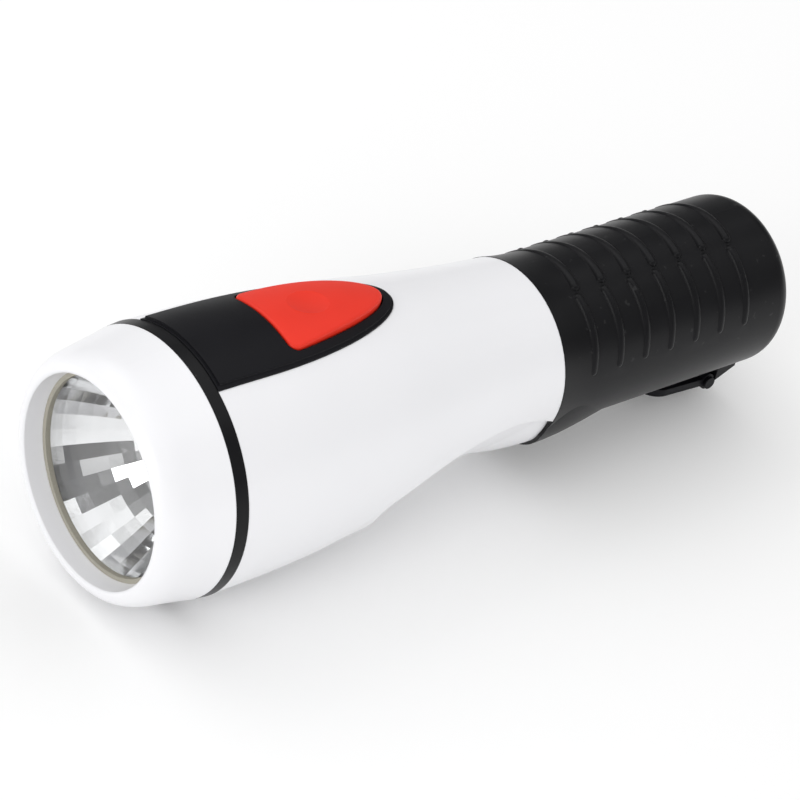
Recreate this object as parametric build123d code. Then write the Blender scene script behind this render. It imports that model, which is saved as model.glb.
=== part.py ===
"""Two-cell hand torch: screw-on lamp head, flared body, top push-button and ribbed grip.

Every piece is drawn about the torch's own axis, the X axis, with x = 0 just inside the rear edge
of the lamp head, -X towards the lens and +X towards the tail, and +Z up through the push-button.
At the end the whole torch is lifted so that it lies on the plane z = 0, with the middle of its
length at x = 0. All sizes are in millimetres.
"""
import math
import os

from build123d import *

# --- clearances --------------------------------------------------------------------------------
running_gap = 0.05      # a pin or a rivet in its hole
slip_gap = 0.30         # pieces that slide past each other or drop into place
seat_gap = 0.05         # a moulded piece on the piece that carries it

# --- dry cells ---------------------------------------------------------------------------------
cell_r = 17.0
cell_length = 61.5
cell_count = 2
cell_cap_r = 4.8
cell_cap_height = 1.5
cell_edge = 1.2         # rolled edge of the can

# --- seal ring and body shell ------------------------------------------------------------------
head_over_cell = 11.3   # the body's front stands this far outside the cells
ring_proud = 0.1
ring_front_x = 0.35
ring_rear_x = 3.15
shoulder_x = 8.0        # where the cylinder of the body starts to round in
flex_x = 55.0           # where the shoulder's arc turns into the waist's arc
shoulder_arc_r = 300.0
waist_arc_r = 437.0
body_end_x = 93.0       # where the grip's front edge lies
shell_wall = 2.2
neck_inset = 3.7        # inside the body's front radius, as all the head's insets
neck_wall = 2.0
neck_length = 6.0       # in front of the seal ring's front face
cell_bore_gap = 0.3
tube_wall = 1.2
core_wall = 1.6
tube_end_wall = 2.0
cavity_front_wall = 2.2 # body wall where the scoop starts
cavity_throat = 8.0     # the hollow narrows to the inner barrel over this length

# --- finger scoop under the waist ----------------------------------------------------------------
scoop_front_x = 42.0
scoop_floor_x = 72.0
scoop_crest_x = 75.0    # highest point of the scoop's edge, seen from the side
scoop_crest_drop = 1.6  # below the torch's axis
scoop_front_arc_r = 75.0
scoop_rear_arc_r = 36.0
guard_drop = 3.5        # the finger guard is a barrel about a lower axis
guard_slimmer = 0.3     # its crest is this much slimmer than the grip's narrowest place
guard_crest_x = 95.0
guard_front_x = 76.0
guard_front_slimmer = 2.5
guard_rear_x = 122.0
guard_rear_slimmer = 3.3

# --- grip sleeve -----------------------------------------------------------------------------------
rubber_wall = 0.8       # over the tube at the sleeve's narrowest place
grip_neck_x = 104.0
tail_swell = 0.2
front_step = 0.08       # the sleeve's front edge stands this far above the body's skin
sweep_drop = 12.0       # below this depth the front edge sweeps back over the guard
sweep_slope = 0.31
grip_end_wall = 2.5
tail_room = 12.407       # from the cells to the closed end of the sleeve, for the spring and the walls
tail_fillet = 4.5
rib_count = 7
rib_first_x = 102.4     # at the ends of the first row of side ribs
rib_rear_room = 15.88   # from the last row of ribs to the tail
rib_height = 0.85       # where a rib stands highest
rib_section_r = 1.2
rib_sink = 1.2          # a rib's ring is shifted this far towards its highest place
rib_end_r = 1.17        # radius of the balls that round the ribs' ends
rib_groups = (          # start, end and highest angle from the top, bow angle, shift to the tail
    (-48.0, 20.0, 25.0, 20.0, 0.6),
    (31.0, 82.0, 25.0, 14.4, 0.0),
    (-104.0, -58.0, -50.0, 14.4, 0.0),
)

# --- hanging loop ----------------------------------------------------------------------------------
pin_r = 0.9
pin_before_tail = 8.7
pin_below_grip = 2.85   # from the grip's narrowest radius
pin_head_r = 1.5
pin_head = 0.6
lug_half_width = 6.15
lug_nose_r = 2.4
lug_front_length = 4.8  # from the pin to where the lug leaves the grip
lug_heel_length = 5.2   # from the pin to the heel's rear edge
lug_heel_flat = 1.2
lug_heel_drop = 2.9     # below the pin
lug_before_tail = 0.5
lug_rear_drop = 0.6     # below the pin
shoulder_half_width = 8.6  # the lug widens behind the loop's legs
shoulder_length = 2.4   # from the pin to the shoulders' front
shoulder_front_drop = 0.35  # below the pin
shoulder_rear_lift = 2.2  # above the pin
loop_leg = 2.0
loop_thickness = 1.8
loop_length = 19.0      # from the pin to the loop's far edge
loop_corner_r = 5.5
loop_tilt = 4.0         # folded, the loop's free end lies this many degrees nearer the grip
loop_eye_r = 2.0

# --- lamp head ---------------------------------------------------------------------------------------
bezel_rear_inset = 0.2
bezel_mid_x = -9.0
bezel_mid_inset = 1.8
bezel_nose_x = -14.7
bezel_crest_inset = 5.6
bezel_lip_x = -14.3
bezel_lip_inset = 6.3
bezel_mouth_inset = 6.75  # where the bezel's inner cone meets the lens gasket
lens_seat_x = -10.2
gasket_thickness = 1.2
gasket_inset = 7.7
lens_thickness = 1.8
lens_inset = 4.8
flange_thickness = 1.2
mirror_inset = 6.4
bowl_depth = 20.3       # from the lens to the mirror's vertex
reflector_hole_r = 5.0
reflector_wall = 1.0
facet_columns = 36
facet_rows = 10
boss_r = 8.6

# --- lamp bulb ---------------------------------------------------------------------------------------
bulb_globe_r = 4.4
bulb_neck_r = 3.9
bulb_glass_wall = 0.5
bulb_light_centre = 6.4  # from the flange to the filament
bulb_flange_r = 6.75
bulb_flange_thickness = 0.5
bulb_base_r = 4.6
bulb_base_length = 13.3
bulb_pip_r = 2.2
bulb_pip_height = 1.2
filament_wire_r = 0.2
filament_coil_r = 0.4
filament_half_width = 1.3

# --- bulb retainer and contact eyelet ------------------------------------------------------------
retainer_wall = 1.5
retainer_front = 2.8    # how far the retainer reaches in front of the bulb flange
retainer_back = 2.0
eyelet_wall = 0.6
eyelet_flange_r = 9.0

# --- inner barrel --------------------------------------------------------------------------------------
barrel_front_x = 31.0
barrel_wall = 1.3
barrel_flange = 1.5
groove_width = 5.0
groove_depth = 0.7

# --- switch --------------------------------------------------------------------------------------------
plate_front_x = 3.2
plate_half_width = 12.95
plate_taper_x = 14.0    # where the plate's parallel sides end
plate_tip_x = 55.9
plate_rise = 0.8        # above the body's skin
plate_step = 0.6        # width of the lower step round the plate's edge
plate_step_rise = 0.3
plate_sunk = 1.2        # below the body's skin
button_gap = 0.4
button_front_x = 23.2
button_centre_x = 2.0   # centre of the ellipse that gives the button its sides
button_half_width = 11.2
button_tip_x = 53.0
button_front_rise = 0.95  # above the body's skin, at the button's front edge
button_rise = 2.0       # the same at the dimple
button_tip_rise = 1.6
button_skirt = 0.3      # the skirt ends this far below the body's skin
button_roof = 1.5
button_corner = 1.8
button_edge = 0.7
button_travel = 1.5
dimple_x = 35.0
dimple_r = 5.0
dimple_depth = 0.6
stem_x = 35.0
stem_r = 3.0
stem_clip_r = 3.9
stem_clip_thickness = 0.6
switch_spring_r = 4.0
switch_spring_wire_r = 0.25
switch_spring_turns = 3.5
base_front_x = 26.0
base_rear_x = 44.2
base_half_width = 5.6
base_roof = 1.1
base_room = 3.15        # between the base's floor and its roof
base_floor = 0.6
base_wall = 1.2
blade_thickness = 0.25
blade_half_width = 2.0
terminal_x = 41.0
terminal_r = 1.2
terminal_head_r = 1.9
terminal_head = 0.4

# --- contact strips and tail spring ---------------------------------------------------------------
strip_width = 4.0
strip_thickness = 0.4
tail_plate_r = 14.0
tail_plate_thickness = 0.6
tail_spring_r = 11.0
tail_spring_top_r = 5.5
tail_spring_wire_r = 0.6
tail_spring_turns = 4

# --- sizes that follow from the ones above -----------------------------------------------------------
body_front_r = cell_r + head_over_cell
ring_r = body_front_r + ring_proud
neck_r = body_front_r - neck_inset
bezel_rear_r = body_front_r - bezel_rear_inset
bezel_mid_r = body_front_r - bezel_mid_inset
bezel_crest_r = body_front_r - bezel_crest_inset
bezel_lip_r = body_front_r - bezel_lip_inset
bezel_mouth_r = body_front_r - bezel_mouth_inset
gasket_inner_r = body_front_r - gasket_inset
lens_r = body_front_r - lens_inset
reflector_mouth_r = body_front_r - mirror_inset
reflector_focus = reflector_mouth_r ** 2 / (4 * bowl_depth)
lens_front_x = lens_seat_x + gasket_thickness
lens_rear_x = lens_front_x + lens_thickness
flange_rear_x = lens_rear_x + flange_thickness
vertex_x = lens_rear_x + bowl_depth
focus_x = vertex_x - reflector_focus
hole_x = vertex_x - reflector_hole_r ** 2 / (4 * reflector_focus)
bulb_flange_x = focus_x + bulb_light_centre
bulb_flange_rear_x = bulb_flange_x + bulb_flange_thickness
bulb_base_end_x = bulb_flange_rear_x + bulb_base_length
cells_front_x = bulb_base_end_x + bulb_pip_height
cells_rear_x = cells_front_x + cell_count * cell_length
retainer_inner_r = boss_r + seat_gap
retainer_r = retainer_inner_r + retainer_wall
retainer_wall_x = bulb_flange_rear_x + eyelet_wall
retainer_rear_x = retainer_wall_x + retainer_back
eyelet_inner_r = bulb_base_r + slip_gap
eyelet_r = eyelet_inner_r + eyelet_wall
eyelet_rear_x = retainer_rear_x + eyelet_wall
neck_front_x = flange_rear_x
bore_r = cell_r + cell_bore_gap
tube_r = bore_r + tube_wall
core_r = bore_r + core_wall
tail_x = cells_rear_x + tail_room
rib_pitch = (tail_x - rib_first_x - rib_rear_room) / (rib_count - 1)
pin_x = tail_x - pin_before_tail
lug_front_x = pin_x - lug_front_length
lug_heel_x = pin_x + lug_heel_length
lug_rear_x = tail_x - lug_before_tail
shoulder_front_x = pin_x + shoulder_length
tube_end_x = tail_x - grip_end_wall
tail_inner_x = tube_end_x - tube_end_wall
tail_plate_x = tail_inner_x - tail_plate_thickness
barrel_r = bore_r + barrel_wall
barrel_rear_x = scoop_floor_x
strip_top_z = bore_r + groove_depth - 2 * seat_gap
strip_bottom_z = strip_top_z - strip_thickness
base_bottom_z = barrel_r + seat_gap
base_floor_z = base_bottom_z + base_floor
base_roof_z = base_floor_z + base_room + base_roof
blade_bottom_z = base_floor_z + terminal_head + seat_gap
blade_top_z = blade_bottom_z + blade_thickness
stem_end_z = blade_top_z + running_gap + button_travel
grip_neck_r = tube_r + rubber_wall
grip_rear_r = grip_neck_r + tail_swell
guard_r = grip_neck_r - guard_slimmer
guard_front_r = grip_neck_r - guard_front_slimmer
guard_rear_r = grip_neck_r - guard_rear_slimmer
pin_drop = grip_neck_r + pin_below_grip
rear_slope = math.degrees(math.atan2(grip_rear_r - grip_neck_r, tail_x - grip_neck_x))
axis_height = ring_r
middle_x = (bezel_nose_x + tail_x) / 2


# --- drawing helpers -----------------------------------------------------------------------------------
def at(x, r):
    """A point of a turned outline: x along the torch, r out from its axis."""
    return (x, 0, r)


def turned(*edges):
    """A solid of revolution about the torch's axis from a closed outline."""
    return revolve(make_face(list(edges)), axis=Axis.X)


def turned_polygon(*points):
    """A turned piece whose outline is straight from point to point."""
    return turned(Polyline(*[at(x, r) for x, r in points], close=True))


def disc(x_start, x_end, radius, inner=0.0):
    """A round plate, or a ring or tube where it has an inner radius."""
    return turned_polygon((x_start, inner), (x_end, inner), (x_end, radius), (x_start, radius))


def block(x_start, x_end, half_width, z_start, z_end):
    """A box that is centred on the torch's width."""
    box = Box(x_end - x_start, 2 * half_width, z_end - z_start)
    return Pos((x_start + x_end) / 2, 0, (z_start + z_end) / 2) * box


def upright(x, radius, z_start, z_end):
    """A cylinder that stands along Z on the torch's centre plane."""
    return Pos(x, 0, (z_start + z_end) / 2) * Cylinder(radius, z_end - z_start)


def prism(sketch, z_start, z_end):
    """A plan outline drawn out along Z."""
    return Pos(0, 0, z_start) * extrude(sketch, amount=z_end - z_start, dir=(0, 0, 1))


def skin_r(x):
    """Outer radius of the white body at x: a cylinder, a convex arc, then a hollow arc."""
    if x <= shoulder_x:
        return body_front_r
    reach = min(x, flex_x) - shoulder_x
    radius = body_front_r - shoulder_arc_r + math.sqrt(shoulder_arc_r ** 2 - reach ** 2)
    if x <= flex_x:
        return radius
    slope = math.asin((flex_x - shoulder_x) / shoulder_arc_r)
    centre = flex_x + waist_arc_r * math.sin(slope)
    rise = math.sqrt(waist_arc_r ** 2 - (centre - x) ** 2)
    return radius + waist_arc_r * math.cos(slope) - rise


def skin_edge(x_start, x_end, lift):
    """One stretch of the body's outline, raised by lift."""
    start = at(x_start, skin_r(x_start) + lift)
    end = at(x_end, skin_r(x_end) + lift)
    if x_end <= shoulder_x:
        return Line(start, end)
    middle = (x_start + x_end) / 2
    return ThreePointArc(start, at(middle, skin_r(middle) + lift), end)


def under_skin(x_start, x_end, lift=0.0):
    """Everything inside the body's outline between two places along the torch."""
    stops = [x_start] + [x for x in (shoulder_x, flex_x) if x_start < x < x_end] + [x_end]
    edges = [skin_edge(a, b, lift) for a, b in zip(stops, stops[1:])]
    first = at(x_start, skin_r(x_start) + lift)
    last = at(x_end, skin_r(x_end) + lift)
    edges.append(Polyline(last, at(x_end, 0), at(x_start, 0), first))
    return turned(*edges)


def wound(path, wire_r):
    """A round wire along a helix."""
    section = Plane(origin=path @ 0, z_dir=path % 0) * Circle(wire_r)
    return sweep(section, path=path)


# --- body shell ----------------------------------------------------------------------------------------
def scoop_core():
    """What the finger scoop leaves standing: a cone down to the wall of the cell bore."""
    outline = Spline(
        at(scoop_front_x, skin_r(scoop_front_x)),
        at((scoop_front_x + scoop_floor_x) / 2, (skin_r(scoop_front_x) + core_r) / 2 - 0.7),
        at(scoop_floor_x, core_r),
    )
    front = Polyline(at(scoop_front_x, skin_r(scoop_front_x)), at(0, skin_r(0) + 1), at(0, 0))
    rear = Polyline(at(0, 0), at(body_end_x + 1, 0), at(body_end_x + 1, core_r), at(scoop_floor_x, core_r))
    return turned(outline, front, rear)


def scoop_cutter():
    """The sweep of the scoop's edge, seen from the side, cut right across the torch."""
    crest = (scoop_crest_x, 0, -scoop_crest_drop)
    front_reach = 0.75 * scoop_front_arc_r
    rear_reach = body_end_x + 1 - scoop_crest_x

    def arc_end(reach, radius, side):
        return (scoop_crest_x + side * reach, 0, -scoop_crest_drop - radius + math.sqrt(radius ** 2 - reach ** 2))

    front_end = arc_end(front_reach, scoop_front_arc_r, -1)
    rear_end = arc_end(rear_reach, scoop_rear_arc_r, 1)
    front_arc = ThreePointArc(front_end, arc_end(front_reach / 2, scoop_front_arc_r, -1), crest)
    rear_arc = ThreePointArc(crest, arc_end(rear_reach / 2, scoop_rear_arc_r, 1), rear_end)
    floor_z = -2 * ring_r
    rest = Polyline(rear_end, (rear_end[0], 0, floor_z), (front_end[0], 0, floor_z), front_end)
    return extrude(make_face([front_arc, rear_arc, rest]), amount=ring_r + 1, both=True)


def guard_barrel(thinner, x_start, x_end):
    """The finger guard: a barrel about an axis below the torch's own, thinner by the given wall."""
    outline = Spline(
        at(guard_front_x, guard_front_r - thinner),
        at((guard_front_x + guard_crest_x) / 2, guard_r - 0.55 - thinner),
        at(guard_crest_x, guard_r - thinner),
        at((guard_crest_x + guard_rear_x) / 2, guard_r - 1.1 - thinner),
        at(guard_rear_x, guard_rear_r - thinner),
    )
    closing = Polyline(outline @ 1, at(guard_rear_x, 0), at(guard_front_x, 0), outline @ 0)
    barrel = Pos(0, 0, -guard_drop) * turned(outline, closing)
    return barrel & block(x_start, x_end, ring_r, -2 * ring_r, 0)


def front_sweep():
    """The region at the guard's bottom that the grip's front edge sweeps back from."""
    reach = sweep_slope * (2 * ring_r - sweep_drop)
    side = Polyline(
        (body_end_x - 2, 0, -sweep_drop),
        (body_end_x, 0, -sweep_drop),
        (body_end_x + reach, 0, -2 * ring_r),
        (body_end_x - 2, 0, -2 * ring_r),
        close=True,
    )
    return extrude(make_face(side), amount=ring_r, both=True)


def cell_bore():
    """The room for the cells, and the groove for the long contact strip at its top."""
    groove_top = bore_r + groove_depth
    groove = block(barrel_front_x + barrel_flange, tail_inner_x, groove_width / 2, bore_r / 2, groove_top)
    return disc(barrel_front_x, tail_inner_x, bore_r) + groove


def head_cavity():
    """The hollow front of the body, which narrows with the scoop down to the inner barrel."""
    shoulder_in = skin_r(shoulder_x) - shell_wall
    front_in = skin_r(scoop_front_x) - cavity_front_wall
    return turned_polygon(
        (neck_front_x - 1, 0),
        (neck_front_x - 1, neck_r - neck_wall),
        (ring_rear_x, neck_r - neck_wall),
        (shoulder_x, shoulder_in),
        (barrel_front_x, skin_r(barrel_front_x) - shell_wall),
        (scoop_front_x, front_in),
        (barrel_rear_x - cavity_throat, barrel_r + 1),
        (barrel_rear_x, barrel_r + seat_gap),
        (barrel_rear_x, 0),
    )


def body_shell():
    """White body: neck, flared shell, finger scoop and the tube under the grip, in one moulding."""
    shell = under_skin(ring_rear_x, body_end_x)
    shell -= scoop_cutter() - scoop_core()
    shell += guard_barrel(rubber_wall, guard_front_x, guard_rear_x) - disc(body_end_x, tail_x, ring_r)
    shell += guard_barrel(rubber_wall, body_end_x - 1, grip_neck_x) & front_sweep()
    shell += guard_barrel(2 * rubber_wall, body_end_x, guard_rear_x)
    shell += disc(neck_front_x, ring_rear_x, neck_r)
    shell += disc(body_end_x - 1, tube_end_x, tube_r)
    shell -= head_cavity()
    shell -= cell_bore()
    pocket = under_skin(0, body_end_x, 5) - under_skin(0, body_end_x, -plate_sunk - seat_gap)
    shell -= pocket & prism(plate_outline(seat_gap), 0, 2 * ring_r)
    shell -= prism(button_outline(button_gap), base_bottom_z, 2 * ring_r)
    return shell


def seal_ring():
    """Black ring between the bezel and the body's shoulder, a little wider at its rear."""
    inner = neck_r + seat_gap
    return turned_polygon((ring_front_x, inner), (ring_rear_x, inner), (ring_rear_x, ring_r), (ring_front_x, bezel_rear_r))


def inner_barrel():
    """Sleeve that carries the front cell and the switch base inside the hollow body."""
    barrel = disc(barrel_front_x, barrel_rear_x, barrel_r)
    flange_end = barrel_front_x + barrel_flange
    flange = disc(barrel_front_x, flange_end, skin_r(barrel_front_x) - shell_wall - slip_gap)
    barrel += flange - block(barrel_front_x - 1, flange_end + 1, base_half_width + slip_gap, 0, ring_r)
    barrel -= cell_bore()
    barrel -= upright(terminal_x, terminal_r + seat_gap, 0, ring_r)
    return barrel


# --- grip sleeve and hanging loop ------------------------------------------------------------------------
def grip_radius(x):
    """Radius of the plain rear part of the grip at x."""
    share = (x - grip_neck_x) / (tail_x - grip_neck_x)
    return grip_neck_r + max(share, 0) * (grip_rear_r - grip_neck_r)


def grip_blank():
    """The sleeve without ribs: flared front edge, near-cylindrical rear, rounded tail."""
    grip_front_r = skin_r(body_end_x) + front_step
    flare_x = body_end_x + 0.4 * (grip_neck_x - body_end_x)
    flare_r = grip_neck_r + 0.36 * (grip_front_r - grip_neck_r)
    flare = ThreePointArc(at(body_end_x, grip_front_r), at(flare_x, flare_r), at(grip_neck_x, grip_neck_r))
    rest = Polyline(
        at(grip_neck_x, grip_neck_r),
        at(tail_x, grip_rear_r),
        at(tail_x, 0),
        at(body_end_x, 0),
        at(body_end_x, grip_front_r),
    )
    blank = turned(flare, rest)
    return fillet(blank.edges().group_by(Axis.X)[-1], tail_fillet)


def rib(x, start_angle, end_angle, high_angle, bow_angle):
    """One raised rib with rounded ends, bowed towards the tail in its middle.

    The angles run from the top of the torch and x is where the rib's ends lie. The rib is part of a
    ring that is tilted by the bow angle, a little larger to make up for the tilt, and shifted
    towards the angle where the rib stands highest.
    """
    half = (end_angle - start_angle) / 2
    tilt = math.radians(bow_angle)
    lean = math.cos(math.radians(0.7 * half)) * math.sin(tilt)
    ring = (grip_radius(x) + rib_height - rib_section_r - rib_sink) / math.sqrt(1 - lean ** 2)
    plane = Plane(origin=(0, 0, ring), x_dir=(1, 0, 0), z_dir=(0, 1, 0))
    arc = revolve(plane * Circle(rib_section_r), axis=Axis.X, revolution_arc=2 * half)
    arc = Rot(-half, 0, 0) * arc
    for side in (-1, 1):
        arc += Rot(side * half, 0, 0) * Pos(0, 0, ring) * Sphere(rib_end_r)
    ends_x = ring * math.cos(math.radians(half)) * math.sin(tilt)
    middle = (start_angle + end_angle) / 2
    high = math.radians(high_angle)
    shifted = Pos(x - ends_x, -rib_sink * math.sin(high), rib_sink * math.cos(high))
    return shifted * Rot(middle, 0, 0) * Rot(0, bow_angle, 0) * arc


def ribs():
    """Three groups of ribs: one over the top and one down each side."""
    made = []
    for i in range(rib_count):
        row_x = rib_first_x + i * rib_pitch
        for start, end, high, bow_angle, shift in rib_groups:
            made.append(rib(row_x + shift, start, end, high, bow_angle))
    return made


def lug():
    """Wedge under the tail that holds the loop's pin."""
    root = -grip_neck_r / 2
    side = Polyline(
        (lug_front_x, 0, root),
        (lug_front_x, 0, -grip_neck_r),
        (pin_x - lug_nose_r, 0, -pin_drop),
        (pin_x, 0, -pin_drop - lug_nose_r),
        (lug_heel_x - lug_heel_flat, 0, -pin_drop - lug_heel_drop),
        (lug_heel_x, 0, -pin_drop - lug_heel_drop),
        (lug_rear_x, 0, -pin_drop - lug_rear_drop),
        (lug_rear_x, 0, root),
        close=True,
    )
    wedge = extrude(make_face(side), amount=lug_half_width, both=True)
    shoulders = Polyline(
        (shoulder_front_x, 0, root),
        (shoulder_front_x, 0, -pin_drop - shoulder_front_drop),
        (lug_rear_x, 0, -pin_drop + shoulder_rear_lift),
        (lug_rear_x, 0, root),
        close=True,
    )
    wedge += extrude(make_face(shoulders), amount=shoulder_half_width, both=True)
    barrel = Pos(pin_x, 0, -pin_drop) * Rot(90, 0, 0) * Cylinder(lug_nose_r, 2 * lug_half_width)
    return wedge + barrel


def pin_bore(radius, half_length):
    """A cylinder about the loop's hinge line."""
    return Pos(pin_x, 0, -pin_drop) * Rot(90, 0, 0) * Cylinder(radius, 2 * half_length)


def grip_sleeve():
    """Black rubber sleeve with its ribs, finger guard and lug."""
    sleeve = grip_blank()
    sleeve += guard_barrel(0, body_end_x, guard_rear_x)
    sleeve -= front_sweep()
    sleeve += ribs()
    sleeve += lug()
    sleeve -= disc(body_end_x - 1, tube_end_x + seat_gap, tube_r + seat_gap)
    sleeve -= guard_barrel(2 * rubber_wall - seat_gap, 0, guard_rear_x + 1)
    sleeve -= pin_bore(pin_r + seat_gap / 2, 2 * lug_half_width)
    return sleeve


def hanging_loop():
    """Flat U-shaped loop, folded forwards under the grip."""
    inner = lug_half_width + slip_gap
    outer = inner + loop_leg
    hole_length = loop_length - loop_leg
    frame = Pos(-loop_length / 2, 0) * Rectangle(loop_length, 2 * outer)
    frame = fillet(frame.vertices().group_by(Axis.X)[0], loop_corner_r)
    hole = Pos(-hole_length / 2, 0) * Rectangle(hole_length, 2 * inner)
    hole = fillet(hole.vertices().group_by(Axis.X)[0], loop_corner_r - loop_leg)
    loop = Pos(0, 0, -loop_thickness / 2) * extrude(frame - hole, amount=loop_thickness, dir=(0, 0, 1))
    for side in (-1, 1):
        eye = Pos(0, side * (inner + outer) / 2, 0) * Rot(90, 0, 0) * Cylinder(loop_eye_r, loop_leg)
        loop += eye
    loop -= Rot(90, 0, 0) * Cylinder(pin_r + running_gap, 3 * outer)
    return Pos(pin_x, 0, -pin_drop) * Rot(0, loop_tilt, 0) * loop


def loop_pin():
    """Steel hinge pin with a flat head at each end."""
    half = lug_half_width + slip_gap + loop_leg + slip_gap
    pin = pin_bore(pin_r, half + pin_head)
    for side in (-1, 1):
        head = Rot(90, 0, 0) * Cylinder(pin_head_r, pin_head)
        pin += Pos(pin_x, side * (half + pin_head / 2), -pin_drop) * head
    return pin


# --- lamp head --------------------------------------------------------------------------------------------
def bezel():
    """White screw-on head ring with a rounded nose and a shallow inner cone."""
    side_mid_r = (bezel_rear_r + bezel_mid_r) / 2 - 0.1
    side = ThreePointArc(
        at(ring_front_x, bezel_rear_r), at(bezel_mid_x / 2, side_mid_r), at(bezel_mid_x, bezel_mid_r)
    )
    nose = Spline(
        at(bezel_mid_x, bezel_mid_r),
        at(bezel_nose_x, bezel_crest_r),
        tangents=[side % 1, Vector(0, 0, -1)],
        tangent_scalars=[1.15, 0.95],
    )
    lip = Spline(
        at(bezel_nose_x, bezel_crest_r),
        at(bezel_lip_x, bezel_lip_r),
        tangents=[Vector(0, 0, -1), Vector(1, 0, -0.8)],
    )
    inside = Polyline(
        at(bezel_lip_x, bezel_lip_r),
        at(lens_seat_x, bezel_mouth_r),
        at(lens_seat_x, lens_r + slip_gap),
        at(flange_rear_x, lens_r + slip_gap),
        at(flange_rear_x, neck_r + slip_gap),
        at(ring_front_x, neck_r + slip_gap),
        at(ring_front_x, bezel_rear_r),
    )
    return turned(side, nose, lip, inside)


def lens_gasket():
    """Grey rubber ring between the bezel's seat and the lens."""
    return disc(lens_seat_x, lens_front_x, lens_r, gasket_inner_r)


def lens():
    """Clear flat lens."""
    return disc(lens_front_x, lens_rear_x, lens_r)


def reflector_radius(x, thicker=0.0):
    """Radius of the reflector's parabola at x."""
    return math.sqrt(4 * reflector_focus * (vertex_x - x)) + thicker


def facet_cutter():
    """The mirror's inside as rows of flat facets between many-sided rings."""
    rows = []
    for i in range(facet_rows + 1):
        share = (i / facet_rows) ** 1.15
        radius = reflector_mouth_r + share * (reflector_hole_r - reflector_mouth_r)
        x = vertex_x - radius ** 2 / (4 * reflector_focus)
        ring = RegularPolygon(radius / math.cos(math.pi / facet_columns), facet_columns)
        rows.append(Plane(origin=(x, 0, 0), x_dir=(0, 1, 0), z_dir=(1, 0, 0)) * ring)
    return loft(rows, ruled=True)


def reflector():
    """Mirror bowl with flat facets, a rim that the lens rests on and a boss for the bulb."""
    inside = 0.5
    stops = (lens_rear_x, (lens_rear_x + focus_x) / 2, focus_x, hole_x)
    bowl_edge = Spline(*[at(x, reflector_radius(x, reflector_wall)) for x in stops])
    bowl = turned(bowl_edge, Polyline(bowl_edge @ 1, at(hole_x, 0), at(lens_rear_x, 0), bowl_edge @ 0))
    bowl += disc(lens_rear_x, flange_rear_x, lens_r)
    bowl += disc(focus_x + 1, bulb_flange_x, boss_r)
    bowl -= facet_cutter()
    bowl -= disc(lens_rear_x - inside, lens_rear_x + 0.01, reflector_mouth_r + inside)
    bowl -= disc(hole_x - 1, bulb_flange_x + 1, reflector_hole_r)
    return bowl


# --- lamp bulb ----------------------------------------------------------------------------------------------
def glass_outline(thinner):
    """Half outline of the bulb's glass, thinner by the wall for the inside."""
    globe_r = bulb_globe_r - thinner
    neck = bulb_neck_r - thinner
    neck_x = focus_x + math.sqrt(globe_r ** 2 - neck ** 2)
    corner = 0.7071 * globe_r
    cap = ThreePointArc(at(focus_x - globe_r, 0), at(focus_x - corner, corner), at(focus_x, globe_r))
    half = math.atan2(neck, neck_x - focus_x)
    middle = (math.pi / 2 + half) / 2
    low = at(focus_x + globe_r * math.cos(middle), globe_r * math.sin(middle))
    shoulder = ThreePointArc(at(focus_x, globe_r), low, at(neck_x, neck))
    end_x = bulb_flange_x - seat_gap if thinner else bulb_flange_rear_x
    stem = Polyline(at(neck_x, neck), at(end_x, neck), at(end_x, 0), at(focus_x - globe_r, 0))
    return turned(cap, shoulder, stem)


def bulb_glass():
    """Thin glass envelope."""
    return glass_outline(0) - glass_outline(bulb_glass_wall)


def bulb_base():
    """Flanged metal base with the solder pip that meets the front cell."""
    base = disc(bulb_flange_x, bulb_flange_rear_x, bulb_flange_r, bulb_neck_r + seat_gap)
    base += disc(bulb_flange_rear_x, bulb_base_end_x, bulb_base_r)
    base += disc(bulb_base_end_x, cells_front_x, bulb_pip_r)
    return base


def bulb_filament():
    """Filament between its two lead wires."""
    foot_x = bulb_flange_x - seat_gap
    rear = foot_x - (focus_x - filament_wire_r)
    coil = Pos(focus_x, 0, 0) * Rot(90, 0, 0) * Cylinder(filament_coil_r, 2 * filament_half_width)
    for side in (-1, 1):
        lead = Rot(0, 90, 0) * Cylinder(filament_wire_r, rear)
        coil += Pos(focus_x - filament_wire_r + rear / 2, side * filament_half_width, 0) * lead
    return coil


def bulb_retainer():
    """Black cap that screws on the reflector's boss and holds the bulb."""
    cup = disc(bulb_flange_x - retainer_front, retainer_rear_x, retainer_r, eyelet_r + seat_gap)
    return cup - disc(bulb_flange_x - retainer_front - 1, retainer_wall_x, retainer_inner_r)


def contact_eyelet():
    """Brass eyelet that carries the current from the bulb's flange to the front contact."""
    eyelet = disc(bulb_flange_rear_x, eyelet_rear_x, eyelet_r, eyelet_inner_r)
    eyelet += disc(bulb_flange_rear_x, retainer_wall_x, boss_r - seat_gap, eyelet_inner_r)
    eyelet += disc(retainer_rear_x, eyelet_rear_x, eyelet_flange_r, eyelet_inner_r)
    return eyelet


# --- switch ---------------------------------------------------------------------------------------------------
def plate_outline(grow=0.0):
    """Plan outline of the switch plate: parallel sides, then half an ellipse to the tip."""
    half = plate_half_width + grow
    reach = plate_tip_x - plate_taper_x + grow
    rear = Pos(plate_taper_x, 0) * Ellipse(reach, half)
    rear &= Pos(plate_taper_x + reach / 2, 0) * Rectangle(reach, 2 * half)
    length = plate_taper_x - plate_front_x + grow
    return rear + Pos(plate_taper_x - length / 2, 0) * Rectangle(length, 2 * half)


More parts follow.
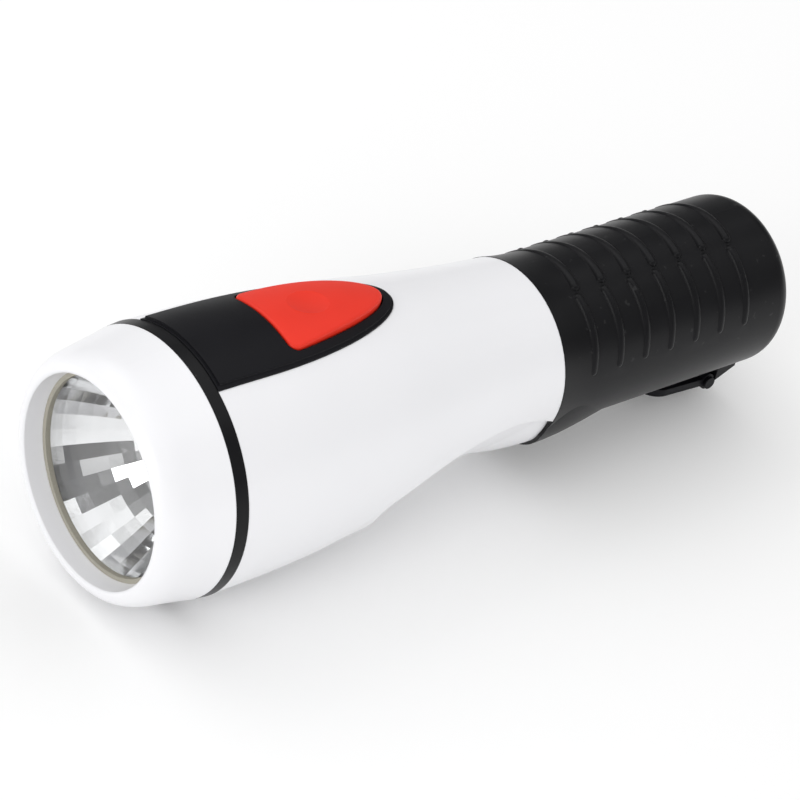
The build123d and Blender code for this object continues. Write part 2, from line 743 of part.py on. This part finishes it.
def button_outline(grow=0.0):
    """Plan outline of the push-button: a straight front and elliptical sides to the tip."""
    half = button_half_width + grow
    reach = button_tip_x - button_centre_x + grow
    length = button_tip_x - button_front_x + 2 * grow
    outline = Pos(button_centre_x, 0) * Ellipse(reach, half)
    outline &= Pos(button_front_x - grow + length / 2, 0) * Rectangle(length, 3 * half)
    return fillet(outline.vertices().group_by(Axis.X)[0], button_corner + grow)


def skin_layer(x_start, x_end, bottom, top):
    """A layer that follows the body's skin, from bottom to top above it."""
    return under_skin(x_start, x_end, top) - under_skin(x_start, x_end, bottom)


def switch_plate():
    """Black plate let into the top of the body, with a lower step round its edge."""
    plate = skin_layer(0, body_end_x, -plate_sunk, plate_step_rise) & prism(plate_outline(), 0, 2 * ring_r)
    plate += skin_layer(0, body_end_x, -plate_sunk, plate_rise) & prism(plate_outline(-plate_step), 0, 2 * ring_r)
    plate -= prism(button_outline(button_gap), 0, 2 * ring_r)
    return plate


def under_roof(lower):
    """Everything under the button's domed roof, lowered by the given amount."""
    stops = (
        (button_front_x - 1, button_front_rise),
        (dimple_x, button_rise),
        (button_tip_x + 1, button_tip_rise),
    )
    points = [at(x, skin_r(x) + rise - lower) for x, rise in stops]
    closing = Polyline(points[2], at(stops[2][0], 0), at(stops[0][0], 0), points[0])
    return turned(ThreePointArc(*points), closing)


def switch_button():
    """Red push-button: a domed cap with rounded edges and a thumb dimple, and a stem."""
    cap = under_roof(0) - under_skin(0, body_end_x, -button_skirt)
    cap &= prism(button_outline(), 0, 2 * ring_r)
    cap = fillet(cap.faces().sort_by(Axis.Z)[-1].edges(), button_edge)
    cap -= under_roof(button_roof) & prism(button_outline(-button_roof), 0, 2 * ring_r)
    dimple_ball_r = (dimple_r ** 2 + dimple_depth ** 2) / (2 * dimple_depth)
    ball_z = skin_r(dimple_x) + button_rise - dimple_depth + dimple_ball_r
    cap -= Pos(dimple_x, 0, ball_z) * Sphere(dimple_ball_r)
    cap += upright(stem_x, stem_r, stem_end_z, skin_r(stem_x) + button_rise - button_roof / 2)
    return cap


def stem_clip():
    """Spring clip on the stem that keeps the button from lifting out."""
    top = base_roof_z - base_roof - running_gap
    ring = upright(stem_x, stem_clip_r, top - stem_clip_thickness, top)
    return ring - upright(stem_x, stem_r + seat_gap / 2, 0, ring_r)


def button_spring():
    """Small coil spring round the stem that lifts the button."""
    bottom = base_roof_z + switch_spring_wire_r + seat_gap
    top = skin_r(stem_x + switch_spring_r) + button_rise - button_roof - switch_spring_wire_r - 6 * seat_gap
    pitch = (top - bottom) / switch_spring_turns
    path = Pos(stem_x, 0, bottom) * Helix(pitch=pitch, height=top - bottom, radius=switch_spring_r)
    return wound(path, switch_spring_wire_r)


def switch_base():
    """Black box on the inner barrel that guides the stem and holds the contacts."""
    box = block(base_front_x, base_rear_x, base_half_width, 0, base_roof_z)
    room = block(
        base_front_x - 1, base_rear_x - base_wall, base_half_width - base_wall, base_floor_z, base_roof_z - base_roof
    )
    box -= room
    box -= disc(base_front_x - 1, base_rear_x + 1, base_bottom_z)
    box -= upright(stem_x, stem_r + slip_gap / 2, 0, ring_r)
    box -= upright(terminal_x, terminal_r + seat_gap, 0, base_roof_z - base_roof)
    return box


def contact_blade():
    """Springy brass blade that the stem pushes on to the terminal."""
    return block(base_front_x + 2, terminal_x + terminal_head_r, blade_half_width, blade_bottom_z, blade_top_z)


def switch_terminal():
    """Brass rivet that joins the long contact strip to the switch."""
    rivet = upright(terminal_x, terminal_r, strip_top_z, base_floor_z)
    rivet += upright(terminal_x, terminal_head_r, base_floor_z, blade_bottom_z - seat_gap)
    return rivet


# --- contacts and cells -----------------------------------------------------------------------------------------
def bent_strip(points, width):
    """A flat strip that follows a line in the torch's centre plane."""
    line = Polyline(*[(x, 0, z) for x, z in points])
    half = strip_thickness / 2
    face = offset(line, amount=half, side=Side.BOTH)
    return extrude(make_face(face), amount=width / 2, both=True)


def front_contact():
    """Leaf from the switch blade down to the eyelet behind the bulb."""
    half = strip_thickness / 2
    top_z = blade_bottom_z - half
    touch_x = eyelet_rear_x + slip_gap + half
    points = [
        (base_front_x + 6, top_z),
        (base_front_x - 2, top_z),
        (touch_x, eyelet_flange_r + 2),
        (touch_x, eyelet_r + 0.5),
    ]
    return bent_strip(points, strip_width)


def long_contact_strip():
    """Steel strip along the top of the cell bore, from the tail to the switch."""
    front_x = terminal_x - 2 * terminal_head_r
    half = strip_thickness / 2
    points = [
        (front_x, strip_bottom_z + half),
        (tail_plate_x + half, strip_bottom_z + half),
        (tail_plate_x + half, tail_plate_r + half),
    ]
    return bent_strip(points, strip_width)


def cell_can(x_start):
    """One dry cell's can with its rolled edges."""
    can = disc(x_start + cell_cap_height, x_start + cell_length, cell_r)
    return fillet(can.edges(), cell_edge)


def cell_cap(x_start):
    """The positive cap of a dry cell."""
    return disc(x_start, x_start + cell_cap_height, cell_cap_r)


def tail_plate():
    """Steel disc that the tail spring stands on."""
    return disc(tail_plate_x, tail_inner_x, tail_plate_r)


def tail_spring():
    """Conical coil spring that pushes the cells forwards."""
    length = tail_plate_x - cells_rear_x - 2 * tail_spring_wire_r - 2 * seat_gap
    cone = math.degrees(math.atan2(tail_spring_r - tail_spring_top_r, length))
    path = Helix(pitch=length / tail_spring_turns, height=length, radius=tail_spring_top_r, cone_angle=cone)
    start_x = cells_rear_x + tail_spring_wire_r + seat_gap
    return Pos(start_x, 0, 0) * Rot(0, 90, 0) * wound(path, tail_spring_wire_r)


# --- the whole torch ----------------------------------------------------------------------------------------------
def pieces():
    """Every piece of the torch by name."""
    made = {
        "bezel": bezel(),
        "lens_gasket": lens_gasket(),
        "lens": lens(),
        "reflector": reflector(),
        "bulb_glass": bulb_glass(),
        "bulb_base": bulb_base(),
        "bulb_filament": bulb_filament(),
        "bulb_retainer": bulb_retainer(),
        "contact_eyelet": contact_eyelet(),
        "seal_ring": seal_ring(),
        "body_shell": body_shell(),
        "inner_barrel": inner_barrel(),
        "grip_sleeve": grip_sleeve(),
        "hanging_loop": hanging_loop(),
        "loop_pin": loop_pin(),
        "switch_plate": switch_plate(),
        "switch_button": switch_button(),
        "stem_clip": stem_clip(),
        "button_spring": button_spring(),
        "switch_base": switch_base(),
        "contact_blade": contact_blade(),
        "switch_terminal": switch_terminal(),
        "front_contact": front_contact(),
        "long_contact_strip": long_contact_strip(),
        "tail_plate": tail_plate(),
        "tail_spring": tail_spring(),
    }
    for index, name in enumerate(("front", "rear")[:cell_count]):
        start = cells_front_x + index * cell_length
        made["cell_" + name] = cell_can(start)
        made["cell_cap_" + name] = cell_cap(start)
    return made


os.makedirs("parts", exist_ok=True)
for node, shape in pieces().items():
    placed = Pos(-middle_x, 0, axis_height) * shape
    export_step(placed, "parts/" + node + ".step")
print("torch length", round(tail_x - bezel_nose_x, 2), "axis height", axis_height, "middle", round(middle_x, 3))
print("filament at", round(focus_x, 2), "cells from", round(cells_front_x, 2), "to", round(cells_rear_x, 2))
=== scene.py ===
import bpy
from bpy.props import FloatProperty, FloatVectorProperty, PointerProperty
from mathutils import Matrix, Vector


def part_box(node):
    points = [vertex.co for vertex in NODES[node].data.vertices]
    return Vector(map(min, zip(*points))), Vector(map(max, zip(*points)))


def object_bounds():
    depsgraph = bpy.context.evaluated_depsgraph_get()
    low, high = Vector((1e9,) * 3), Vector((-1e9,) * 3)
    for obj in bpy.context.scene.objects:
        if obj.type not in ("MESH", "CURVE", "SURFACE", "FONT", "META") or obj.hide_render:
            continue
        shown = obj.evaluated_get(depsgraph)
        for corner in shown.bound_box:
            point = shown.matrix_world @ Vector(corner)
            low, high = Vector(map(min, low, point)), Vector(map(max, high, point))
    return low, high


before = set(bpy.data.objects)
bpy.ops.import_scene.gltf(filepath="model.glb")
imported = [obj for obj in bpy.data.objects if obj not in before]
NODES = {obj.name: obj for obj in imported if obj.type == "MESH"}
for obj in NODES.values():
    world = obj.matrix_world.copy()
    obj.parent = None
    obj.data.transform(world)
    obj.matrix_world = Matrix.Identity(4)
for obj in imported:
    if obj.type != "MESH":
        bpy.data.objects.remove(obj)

bl_info = {
    "name": "Hand Torch",
    "version": (1, 0, 0),
    "blender": (4, 5, 0),
    "location": "3D View > Sidebar > Torch",
    "description": "Finishes, studio and camera for a two-cell hand torch",
    "category": "Object",
}

CAD_BOX = [list(corner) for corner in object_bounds()]
TORCH_MIDDLE = (Vector(CAD_BOX[0]) + Vector(CAD_BOX[1])) / 2

MICRON = 1e-6
CLEAR = (1.0, 1.0, 1.0)
DUST = (0.10, 0.10, 0.10)
SCUFF = (0.5, 0.5, 0.5)
DUST_SIZE = 5               # in widths of the rubber's grain
DUST_LEVEL = 0.72           # of the noise, above which dust shows
SMEAR_SIZE = 0.012
SCUFF_SIZE = 0.004
MIRROR_WAVE = 1600 * MICRON
BRUSHING = 400 * MICRON     # width of the brushed metals' lines
BAND_SHARE = 0.28           # of the cell's length
SENSOR_WIDTH = 36           # in millimetres
CLIP_START = 0.01


# --- settings -------------------------------------------------------------------------------------


def colour(label, text, value):
    """A colour setting with its default."""
    return FloatVectorProperty(
        name=label, description=text, default=value, subtype="COLOR", size=3, min=0, max=1
    )


def place(label, text, value):
    """A place setting with its default, in metres."""
    return FloatVectorProperty(name=label, description=text, default=value, subtype="TRANSLATION")


def direction(label, text, value):
    """A direction setting with its default."""
    return FloatVectorProperty(name=label, description=text, default=value, subtype="DIRECTION")


def width(label, text, value):
    """A setting for a width in metres."""
    return FloatProperty(name=label, description=text, default=value, unit="LENGTH")


def power(label, text, value):
    """A setting for a lamp's power in watts."""
    return FloatProperty(name=label, description=text, default=value, unit="POWER")


def amount(label, text, value):
    """A setting that is a plain number."""
    return FloatProperty(name=label, description=text, default=value)


class TorchColours(bpy.types.PropertyGroup):
    """Colours of the torch's finishes."""

    white: colour("White", "Moulded body and head ring", (0.84, 0.84, 0.86))
    red: colour("Red", "Push-button", (0.80, 0.028, 0.010))
    black: colour("Black", "Switch plate, loop, pin and inner pieces", (0.006, 0.006, 0.008))
    rubber: colour("Rubber", "Grip sleeve and seal ring", (0.007, 0.007, 0.008))
    gasket: colour("Gasket", "Ring between the head ring and the lens", (0.38, 0.36, 0.30))
    mirror: colour("Mirror", "Reflector", (0.88, 0.89, 0.90))
    steel: colour("Steel", "Springs, clip, strip and tail plate", (0.52, 0.52, 0.52))
    nickel: colour("Nickel", "Bulb base and cell caps", (0.72, 0.70, 0.66))
    brass: colour("Brass", "Contacts and eyelet", (0.70, 0.50, 0.20))
    tungsten: colour("Tungsten", "Filament", (0.20, 0.19, 0.18))
    wrap: colour("Cell wrap", "Printed film round the cells", (0.03, 0.05, 0.10))
    band: colour("Cell band", "Band round the cells' positive end", (0.45, 0.20, 0.06))


class TorchGrain(bpy.types.PropertyGroup):
    """Sizes of the surface detail."""

    moulding: width("Moulding grain", "Width of the fine grain on the moulded plastic", 0.00025)
    rubber: width("Rubber grain", "Width of the fine grain on the rubber", 0.0004)
    patch: width("Patches", "Width of the soft patches of gloss", 0.018)
    edge: width("Edge", "Radius that breaks the pieces' sharp edges", 0.0003)


class TorchStudio(bpy.types.PropertyGroup):
    """Camera, lamps and floor."""

    camera_place: place("Camera", "Where the camera stands", (-0.38365, -0.35839, 0.38162))
    camera_aim: direction("Aim", "Where the camera looks", (0.59469, 0.56849, -0.56847))
    camera_up: direction("Up", "What is upright in the picture", (0, 0.27571, 0.96096))
    lens: FloatProperty(name="Lens", description="Focal length", default=135, unit="CAMERA")
    sky: amount("Sky", "Strength of the light from all round", 0.93)
    panels: amount("Panels", "How small the panels are that gloss shows", 5.0)
    panel_dark: amount("Dark panels", "Brightness of the darkest panel", 0.05)
    panel_light: amount("Light panels", "How much brighter the lightest panel is", 0.7)
    overhead: amount("Overhead", "Brightness that gloss shows straight above", 0.9)
    overhead_height: amount("Overhead height", "Upward part of a direction that counts as above", 0.8)
    key: power("Key", "Power of the large lamp above and behind", 1.0)
    key_place: place("Key place", "Where the large lamp hangs", (-0.25, 0.55, 0.75))
    key_length: width("Key length", "Longer side of the large lamp", 0.7)
    key_width: width("Key width", "Shorter side of the large lamp", 0.5)
    fill: power("Fill", "Power of the lamp in front", 1.8)
    fill_place: place("Fill place", "Where the lamp in front stands", (-0.85, -0.30, 0.42))
    fill_side: width("Fill side", "Side of the lamp in front", 0.4)
    floor: width("Floor", "Width of the floor", 6.0)
    paper: amount("Paper", "How pale the floor's paper is", 0.95)
    shadow: FloatProperty(
        name="Shadow",
        description="How much of the floor's own shading shows",
        default=0.95,
        subtype="FACTOR",
    )


# --- shader values --------------------------------------------------------------------------------


class Value:
    """What a shader node gives out. Arithmetic on it adds the nodes that work it out."""

    def __init__(self, finish, socket):
        self.finish = finish
        self.socket = socket

    def maths(self, operation, first, second=0.0):
        return self.finish.node("ShaderNodeMath", {"operation": operation}, {0: first, 1: second})

    def __add__(self, other):
        return self.maths("ADD", self, other)

    __radd__ = __add__

    def __sub__(self, other):
        return self.maths("SUBTRACT", self, other)

    def __rsub__(self, other):
        return self.maths("SUBTRACT", other, self)

    def __mul__(self, other):
        return self.maths("MULTIPLY", self, other)

    __rmul__ = __mul__

    def __truediv__(self, other):
        return self.maths("DIVIDE", self, other)

    def __gt__(self, other):
        return self.maths("GREATER_THAN", self, other)

    def __lt__(self, other):
        return self.maths("LESS_THAN", self, other)


class Finish:
    """One material, or the sky, put together from nodes."""

    def __init__(self, name, kind=bpy.data.materials):
        self.holder = kind.new(name)
        self.holder.use_nodes = True
        self.tree = self.holder.node_tree
        self.tree.nodes.clear()

    def node(self, kind, settings=None, inputs=None, output=0):
        """Adds one node with its settings and inputs, and gives one of its outputs."""
        made = self.tree.nodes.new(kind)
        for name, value in (settings or {}).items():
            setattr(made, name, value)
        for name, value in (inputs or {}).items():
            if isinstance(value, Value):
                self.tree.links.new(value.socket, made.inputs[name])
            else:
                made.inputs[name].default_value = value
        return Value(self, made.outputs[output]) if made.outputs else None

    def place(self):
        """Where a point of the surface is on the torch, in metres."""
        return self.node("ShaderNodeTexCoord", output="Object")

    def noise(self, size, detail=2.0, roughness=0.5, place=None):
        """Soft blotches of about the given width."""
        values = {
            "Vector": place or self.place(),
            "Scale": 1 / size,
            "Detail": detail,
            "Roughness": roughness,
        }
        return self.node("ShaderNodeTexNoise", inputs=values, output=0)

    def streaks(self, size, stretch):
        """Blotches drawn out along one or more axes, as brushing leaves them."""
        place = self.node(
            "ShaderNodeVectorMath", {"operation": "MULTIPLY"}, {0: self.place(), 1: stretch}
        )
        return self.noise(size, 3.0, 0.6, place)

    def ray(self, kind):
        """1 where a ray of the given kind sees the surface, or else 0."""
        return self.node("ShaderNodeLightPath", output=kind)

    def mix(self, factor, first, second):
        """A colour between two others."""
        mixed = self.tree.nodes.new("ShaderNodeMix")
        mixed.data_type = "RGBA"
        sockets = {socket.identifier: socket for socket in mixed.inputs}
        self.tree.links.new(factor.socket, sockets["Factor_Float"])
        for name, tone in (("A_Color", first), ("B_Color", second)):
            if isinstance(tone, Value):
                self.tree.links.new(tone.socket, sockets[name])
            else:
                sockets[name].default_value = (*tone, 1)
        outputs = {socket.identifier: socket for socket in mixed.outputs}
        return Value(self, outputs["Result_Color"])

    def bump(self, height, depth, strength=1.0, edge=0.0):
        """Surface relief of the given depth in metres, over edges rounded by a small radius."""
        inputs = {"Height": height, "Distance": depth, "Strength": strength}
        if edge:
            inputs["Normal"] = self.node("ShaderNodeBevel", {"samples": 6}, {"Radius": edge})
        return self.node("ShaderNodeBump", inputs=inputs)

    def done(self, **inputs):
        """Ends the material in a Principled shader."""
        named = {name.replace("_", " "): value for name, value in inputs.items()}
        shader = self.node("ShaderNodeBsdfPrincipled", inputs=named)
        self.node("ShaderNodeOutputMaterial", inputs={"Surface": shader})
        return self.holder


def shade(value, factor):
    """A colour made darker or lighter."""
    return tuple(min(1.0, c * factor) for c in value)


# --- finishes -------------------------------------------------------------------------------------


def white_moulding(settings, grain):
    """Satin white plastic with the faint patches and grain of a moulding."""
    made = Finish("white_moulding")
    patches = made.noise(grain.patch, 3.0)
    fine = made.noise(grain.moulding, 2.0)
    tone = made.mix(patches, shade(settings.white, 0.985), shade(settings.white, 1.015))
    return made.done(
        Base_Color=tone,
        Roughness=0.30 + 0.08 * patches + 0.04 * fine,
        Normal=made.bump(fine, 6 * MICRON, 0.5, grain.edge),
        Coat_Weight=0.15,
        Coat_Roughness=0.2,
    )


def red_moulding(settings, grain):
    """Satin red plastic, a little duller where the thumb rests."""
    made = Finish("red_moulding")
    patches = made.noise(grain.patch / 2, 3.0)
    fine = made.noise(grain.moulding, 2.0)
    tone = made.mix(patches, shade(settings.red, 0.94), shade(settings.red, 1.06))
    return made.done(
        Base_Color=tone,
        Roughness=0.36 + 0.10 * patches + 0.04 * fine,
        Specular_IOR_Level=0.3,
        Normal=made.bump(fine, 8 * MICRON, 0.5, grain.edge),
    )


def black_moulding(settings, grain):
    """Black plastic or paint with a soft grey sheen."""
    made = Finish("black_moulding")
    patches = made.noise(grain.patch / 2, 3.0)
    fine = made.noise(grain.moulding * 1.4, 3.0)
    tone = made.mix(patches, shade(settings.black, 0.8), shade(settings.black, 1.3))
    return made.done(
        Base_Color=tone,
        Roughness=0.36 + 0.10 * patches + 0.06 * fine,
        Specular_IOR_Level=0.16,
        Normal=made.bump(fine, 15 * MICRON, 0.5, grain.edge),
    )


def black_rubber(settings, grain):
    """Soft-touch rubber with a fine grain and faint dust in its patches."""
    made = Finish("black_rubber")
    patches = made.noise(grain.patch, 4.0, 0.6)
    fine = made.noise(grain.rubber, 3.0, 0.6)
    dust = made.noise(grain.rubber * DUST_SIZE, 2.0) > DUST_LEVEL
    tone = made.mix(patches, shade(settings.rubber, 0.7), shade(settings.rubber, 1.5))
    dusty = made.mix(dust * 0.15, tone, DUST)
    return made.done(
        Base_Color=dusty,
        Roughness=0.25 + 0.10 * patches + 0.08 * fine,
        Specular_IOR_Level=0.16,
        Normal=made.bump(fine, 20 * MICRON, 0.5, grain.edge),
    )


def grey_gasket(settings, grain):
    """Matt grey rubber."""
    made = Finish("grey_gasket")
    fine = made.noise(grain.rubber, 3.0)
    tone = made.mix(fine, shade(settings.gasket, 0.85), shade(settings.gasket, 1.15))
    return made.done(
        Base_Color=tone,
        Roughness=0.55 + 0.15 * fine,
        Normal=made.bump(fine, 20 * MICRON, 0.5, grain.edge),
    )


def mirror(settings, grain):
    """Bright coating on moulded facets, with the slight waviness that moulding leaves."""
    made = Finish("reflector_mirror")
    waves = made.noise(MIRROR_WAVE, 2.0)
    haze = made.noise(grain.patch / 3, 3.0)
    tone = made.mix(haze, shade(settings.mirror, 0.93), settings.mirror)
    return made.done(
        Base_Color=tone,
        Metallic=1.0,
        Roughness=0.05 + 0.06 * haze,
        Normal=made.bump(waves, 20 * MICRON, 0.4),
    )


def clear(name, smear):
    """Clear plastic or glass with faint smears."""
    made = Finish(name)
    smears = made.noise(SMEAR_SIZE, 4.0, 0.7)
    return made.done(
        Base_Color=made.mix(smears, shade(CLEAR, 0.98), CLEAR),
        Roughness=0.01 + smear * smears,
        Transmission_Weight=1.0,
        IOR=1.45,
    )


def metal(name, tone, rough, stretch):
    """Metal with fine brushing drawn out along its length."""
    made = Finish(name)
    lines = made.streaks(BRUSHING, stretch)
    return made.done(
        Base_Color=made.mix(lines, shade(tone, 0.85), shade(tone, 1.1)),
        Metallic=1.0,
        Roughness=rough + 0.12 * lines,
        Normal=made.bump(lines, 10 * MICRON, 0.4),
    )


def cell_film(settings, start, length):
    """Film round a dry cell, with a plain band round its positive end."""
    made = Finish("cell_film")
    along = made.node("ShaderNodeSeparateXYZ", inputs={"Vector": made.place()})
    share = (along - start) / length
    band = share < BAND_SHARE
    scuffs = made.noise(SCUFF_SIZE, 3.0)
    tone = made.mix(band, settings.wrap, settings.band)
    return made.done(
        Base_Color=made.mix(scuffs * 0.15, tone, SCUFF),
        Metallic=0.6,
        Roughness=0.25 + 0.1 * scuffs,
    )


def dress(material, *names):
    """Gives a finish to pieces of the torch."""
    for name in names:
        piece = NODES[name]
        piece.data.materials.clear()
        piece.data.materials.append(material)


# --- operators ------------------------------------------------------------------------------------


class TorchOperator(bpy.types.Operator):
    """Base of the operators that finish the torch's pieces."""

    bl_options = {"INTERNAL"}

    @property
    def colours(self):
        return bpy.context.scene.torch_colours

    @property
    def grain(self):
        return bpy.context.scene.torch_grain


class TORCH_OT_white(TorchOperator):
    """Finish the white body and the head ring"""

    bl_idname = "torch.white_pieces"
    bl_label = "Body and head ring"

    def execute(self, context):
        dress(white_moulding(self.colours, self.grain), "body_shell", "bezel")
        return {"FINISHED"}


class TORCH_OT_grip(TorchOperator):
    """Finish the rubber grip and the seal ring"""

    bl_idname = "torch.grip"
    bl_label = "Grip and seal ring"

    def execute(self, context):
        dress(black_rubber(self.colours, self.grain), "grip_sleeve", "seal_ring")
        return {"FINISHED"}


class TORCH_OT_switch(TorchOperator):
    """Finish the push-button and the black plastic pieces, the loop and its pin"""

    bl_idname = "torch.switch"
    bl_label = "Button and black pieces"

    def execute(self, context):
        dress(red_moulding(self.colours, self.grain), "switch_button")
        dress(
            black_moulding(self.colours, self.grain),
            "switch_plate",
            "switch_base",
            "hanging_loop",
            "loop_pin",
            "inner_barrel",
            "bulb_retainer",
        )
        return {"FINISHED"}


class TORCH_OT_lamp(TorchOperator):
    """Finish the lens, its gasket, the reflector and the bulb"""

    bl_idname = "torch.lamp"
    bl_label = "Lamp"

    def execute(self, context):
        dress(mirror(self.colours, self.grain), "reflector")
        dress(clear("clear_lens", 0.03), "lens")
        dress(clear("bulb_glass", 0.01), "bulb_glass")
        dress(grey_gasket(self.colours, self.grain), "lens_gasket")
        dress(metal("tungsten", self.colours.tungsten, 0.4, (1, 1, 1)), "bulb_filament")
        return {"FINISHED"}


class TORCH_OT_power(TorchOperator):
    """Finish the cells, the contacts, the springs and the bulb's base"""

    bl_idname = "torch.power"
    bl_label = "Cells and contacts"

    def execute(self, context):
        steel = metal("spring_steel", self.colours.steel, 0.25, (1, 6, 6))
        nickel = metal("nickel", self.colours.nickel, 0.18, (1, 6, 6))
        brass = metal("brass", self.colours.brass, 0.28, (1, 8, 1))
        dress(
            steel,
            "stem_clip",
            "button_spring",
            "long_contact_strip",
            "tail_plate",
            "tail_spring",
        )
        dress(nickel, "bulb_base", "cell_cap_front", "cell_cap_rear")
        dress(brass, "contact_eyelet", "contact_blade", "switch_terminal", "front_contact")
        for name in ("cell_front", "cell_rear"):
            low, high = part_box(name)
            dress(cell_film(self.colours, low[0], high[0] - low[0]), name)
        return {"FINISHED"}


class TORCH_OT_stage(TorchOperator):
    """Build the floor, the lamps, the sky and the camera"""

    bl_idname = "torch.stage"
    bl_label = "Stage"

    def execute(self, context):
        studio = context.scene.torch_studio
        make_floor(context, studio)
        make_sky(context, studio)
        make_lamps(context, studio)
        make_camera(context, studio)
        context.scene.view_settings.view_transform = "Standard"
        return {"FINISHED"}


# --- stage ----------------------------------------------------------------------------------------


def make_floor(context, studio):
    """White paper floor. The camera, gloss and glass see it with a share of plain white."""
    half = studio.floor / 2
    mesh = bpy.data.meshes.new("studio_floor")
    corners = [(-half, -half, 0), (half, -half, 0), (half, half, 0), (-half, half, 0)]
    mesh.from_pydata(corners, [], [(0, 1, 2, 3)])
    floor = bpy.data.objects.new("studio_floor", mesh)
    context.collection.objects.link(floor)
    made = Finish("studio_paper")
    seen = made.ray("Is Camera Ray")
    gloss = made.ray("Is Glossy Ray")
    through = made.ray("Is Transmission Ray")
    white = made.node("ShaderNodeEmission", inputs={"Color": (1, 1, 1, 1), "Strength": 1.0})
    pale = (studio.paper, studio.paper, studio.paper, 1)
    paper = made.node("ShaderNodeBsdfDiffuse", inputs={"Color": pale})
    share = (seen + gloss + through) * (1 - studio.shadow)
    shader = made.node("ShaderNodeMixShader", inputs={0: share, 1: paper, 2: white})
    made.node("ShaderNodeOutputMaterial", inputs={"Surface": shader})
    mesh.materials.append(made.holder)


def make_sky(context, studio):
    """White from all round. Gloss and glass show it as a room of lighter and darker panels."""
    made = Finish("studio_sky", bpy.data.worlds)
    seen = made.ray("Is Camera Ray")
    gloss = made.ray("Is Glossy Ray")
    through = made.ray("Is Transmission Ray")
    heading = made.node("ShaderNodeTexCoord", output="Generated")
    cells = {"Vector": heading, "Scale": studio.panels}
    panels = made.node("ShaderNodeTexVoronoi", inputs=cells, output="Color")
    tone = made.node("ShaderNodeSeparateColor", inputs={"Color": panels})
    mirrored = (gloss + through) > 0.5  # either kind of ray
    height = made.node("ShaderNodeSeparateXYZ", inputs={"Vector": heading}, output="Z")
    above = height > studio.overhead_height
    room = studio.panel_dark + studio.panel_light * tone * tone + studio.overhead * above
    strength = seen + (1 - seen) * (mirrored * room + (1 - mirrored) * studio.sky)
    light = made.node("ShaderNodeBackground", inputs={"Color": (1, 1, 1, 1), "Strength": strength})
    made.node("ShaderNodeOutputWorld", inputs={"Surface": light})
    context.scene.world = made.holder


def add_lamp(context, name, place, size, power):
    """One rectangular soft lamp that faces the torch."""
    lamp = bpy.data.lights.new(name, "AREA")
    lamp.shape = "RECTANGLE"
    lamp.size, lamp.size_y = size
    lamp.energy = power
    holder = bpy.data.objects.new(name, lamp)
    holder.location = place
    holder.rotation_mode = "QUATERNION"
    holder.rotation_quaternion = (TORCH_MIDDLE - Vector(place)).to_track_quat("-Z", "Y")
    context.collection.objects.link(holder)


def make_lamps(context, studio):
    """A large lamp above and behind, and a smaller one in front of the lens."""
    key_size = (studio.key_length, studio.key_width)
    fill_size = (studio.fill_side, studio.fill_side)
    add_lamp(context, "key_lamp", studio.key_place, key_size, studio.key)
    add_lamp(context, "fill_lamp", studio.fill_place, fill_size, studio.fill)


def make_camera(context, studio):
    """The camera, rolled a little to one side."""
    lens = bpy.data.cameras.new("camera")
    lens.lens = studio.lens
    lens.sensor_width = SENSOR_WIDTH
    lens.clip_start = CLIP_START
    camera = bpy.data.objects.new("camera", lens)
    back = -Vector(studio.camera_aim).normalized()
    right = Vector(studio.camera_up).cross(back).normalized()
    up = back.cross(right)
    turn = Matrix((right, up, back)).transposed().to_4x4()
    camera.matrix_world = Matrix.Translation(studio.camera_place) @ turn
    context.collection.objects.link(camera)
    context.scene.camera = camera


# --- panel and registration -----------------------------------------------------------------------


OPERATORS = (
    TORCH_OT_white,
    TORCH_OT_grip,
    TORCH_OT_switch,
    TORCH_OT_lamp,
    TORCH_OT_power,
    TORCH_OT_stage,
)


class TORCH_PT_panel(bpy.types.Panel):
    """Lists the torch's operators in the sidebar"""

    bl_idname = "TORCH_PT_panel"
    bl_label = "Hand Torch"
    bl_space_type = "VIEW_3D"
    bl_region_type = "UI"
    bl_category = "Torch"

    def draw(self, context):
        for operator in OPERATORS:
            self.layout.operator(operator.bl_idname)


CLASSES = (TorchColours, TorchGrain, TorchStudio, *OPERATORS, TORCH_PT_panel)


def register():
    for cls in CLASSES:
        bpy.utils.register_class(cls)
    bpy.types.Scene.torch_colours = PointerProperty(type=TorchColours)
    bpy.types.Scene.torch_grain = PointerProperty(type=TorchGrain)
    bpy.types.Scene.torch_studio = PointerProperty(type=TorchStudio)


def unregister():
    del bpy.types.Scene.torch_studio
    del bpy.types.Scene.torch_grain
    del bpy.types.Scene.torch_colours
    for cls in reversed(CLASSES):
        bpy.utils.unregister_class(cls)


def main():
    """Builds the whole scene."""
    register()
    for operator in OPERATORS:
        area, name = operator.bl_idname.split(".")
        getattr(getattr(bpy.ops, area), name)()


if __name__ == "__main__":
    main()
